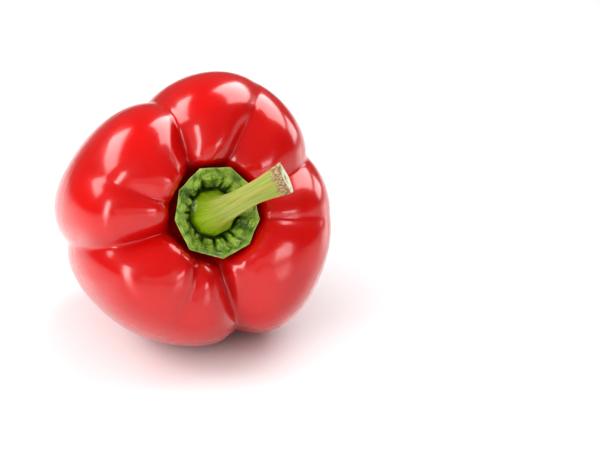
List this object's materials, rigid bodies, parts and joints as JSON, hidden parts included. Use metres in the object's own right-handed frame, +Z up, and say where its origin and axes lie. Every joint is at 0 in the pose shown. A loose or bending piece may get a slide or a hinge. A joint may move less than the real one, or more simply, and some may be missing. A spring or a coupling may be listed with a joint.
{
  "type": "bell pepper",
  "caption": "Ripe red bell pepper lying on its side, a lobed blocky fruit with a ruffled green calyx sunk in its top and a bent, cut stem.",
  "frame": {"origin": "centre of the footprint of the whole pepper, on the surface it lies on", "axes": "+Z up; the pepper lies along Y, with its stem end towards -Y and tipped up, and its blossom end towards +Y"},
  "size_m": [0.0864, 0.108, 0.0872],
  "materials": {
    "skin": "waxy and glossy, deep red, darker in the furrows",
    "calyx": "leafy dark green with a lighter rim, slightly glossy",
    "stem": "fibrous yellow green with brown at the cut, satin"
  },
  "bodies": {
    "root": {"fruit": "skin", "calyx": "calyx", "stem": "stem"}
  },
  "joints": []
}
